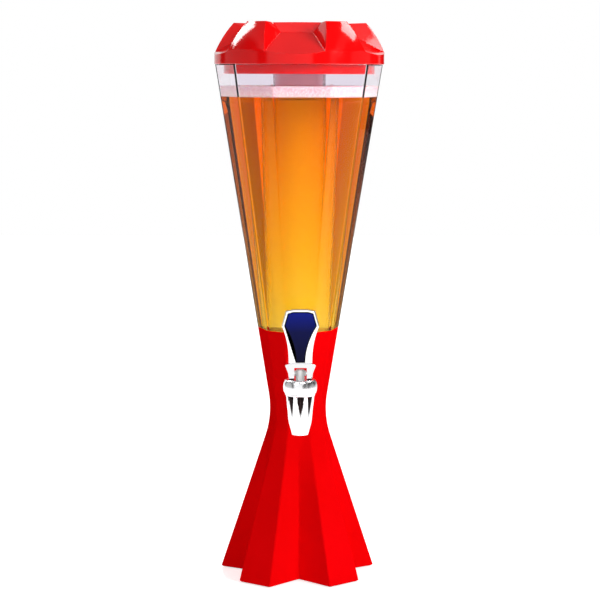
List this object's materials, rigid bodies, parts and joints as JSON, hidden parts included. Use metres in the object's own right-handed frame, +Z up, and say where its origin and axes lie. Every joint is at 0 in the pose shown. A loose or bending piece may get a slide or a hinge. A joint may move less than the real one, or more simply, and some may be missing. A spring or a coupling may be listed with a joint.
{
  "type": "beer tower dispenser",
  "caption": "Tall faceted drink tower: clear tapering tank on a pleated pedestal, lift-off lid with a hanging ice tube, and a lever tap with a lifting stem.",
  "frame": {"origin": "on the floor, under the middle of the tower", "axes": "+Z up; the tap faces -Y; +X is to the right of someone who faces the tap"},
  "size_m": [0.1824, 0.1824, 0.6],
  "materials": {
    "pedestal_red": "satin moulded",
    "cover_black": "matt moulded",
    "screw_steel": "zinc plated",
    "pad_rubber": "matt",
    "ballast_iron": "as cast",
    "tank_clear": "clear gloss",
    "tap_chrome": "mirror",
    "washer_silicone": "matt",
    "nut_steel": "turned",
    "bonnet_chrome": "mirror",
    "spring_steel": "drawn wire",
    "stem_white": "gloss",
    "plug_silicone": "matt",
    "pin_chrome": "mirror",
    "fork_chrome": "mirror",
    "handle_chrome": "mirror",
    "inset_blue": "high gloss",
    "lid_red": "high gloss",
    "seal_silicone": "matt",
    "tube_clear": "clear gloss"
  },
  "bodies": {
    "pedestal": {"base_shell": "pedestal_red", "bottom_cover": "cover_black", "cover_screws": "screw_steel", "foot_pads": "pad_rubber", "ballast_disc": "ballast_iron", "tank": "tank_clear", "tap_body": "tap_chrome", "outer_washer": "washer_silicone", "inner_washer": "washer_silicone", "shank_nut": "nut_steel", "bonnet": "bonnet_chrome", "stem_seal": "washer_silicone", "return_spring": "spring_steel"},
    "stem": {"stem": "stem_white", "seat_plug": "plug_silicone"},
    "lever": {"lever_pin": "pin_chrome", "lever_fork": "fork_chrome", "handle": "handle_chrome", "handle_inset": "inset_blue"},
    "lid": {"lid": "lid_red"},
    "tube_seal": {"tube_seal": "seal_silicone"},
    "ice_tube": {"ice_tube": "tube_clear"}
  },
  "joints": [
    {"name": "lid_lift", "type": "slide", "parent": "pedestal", "child": "lid", "axis": [0, 0, 1], "range_m": [0, 0.31]},
    {"name": "tube_drop", "type": "slide", "parent": "lid", "child": "tube_seal", "axis": [0, 0, -1], "range_m": [0, 0.009]},
    {"name": "tube_turn", "type": "hinge", "parent": "tube_seal", "child": "ice_tube", "pos_m": [0, 0, 0.58], "axis": [0, 0, -1], "range_deg": [0, 270]},
    {"name": "stem_lift", "type": "slide", "parent": "pedestal", "child": "stem", "axis": [0, 0, 1], "range_m": [0, 0.004], "deforming": ["return_spring"]},
    {"name": "lever_pull", "type": "hinge", "parent": "stem", "child": "lever", "pos_m": [0, -0.066, 0.231], "axis": [1, 0, 0], "range_deg": [0, 50], "stiffness_Nm_per_rad": 0.4, "springref_deg": -11.46}
  ],
  "couplings": [
    {"joint": "stem_lift", "follows": "lever_pull", "m_per_rad": 0.0045836},
    {"joint": "tube_drop", "follows": "tube_turn", "m_per_rad": 0.0019098}
  ]
}
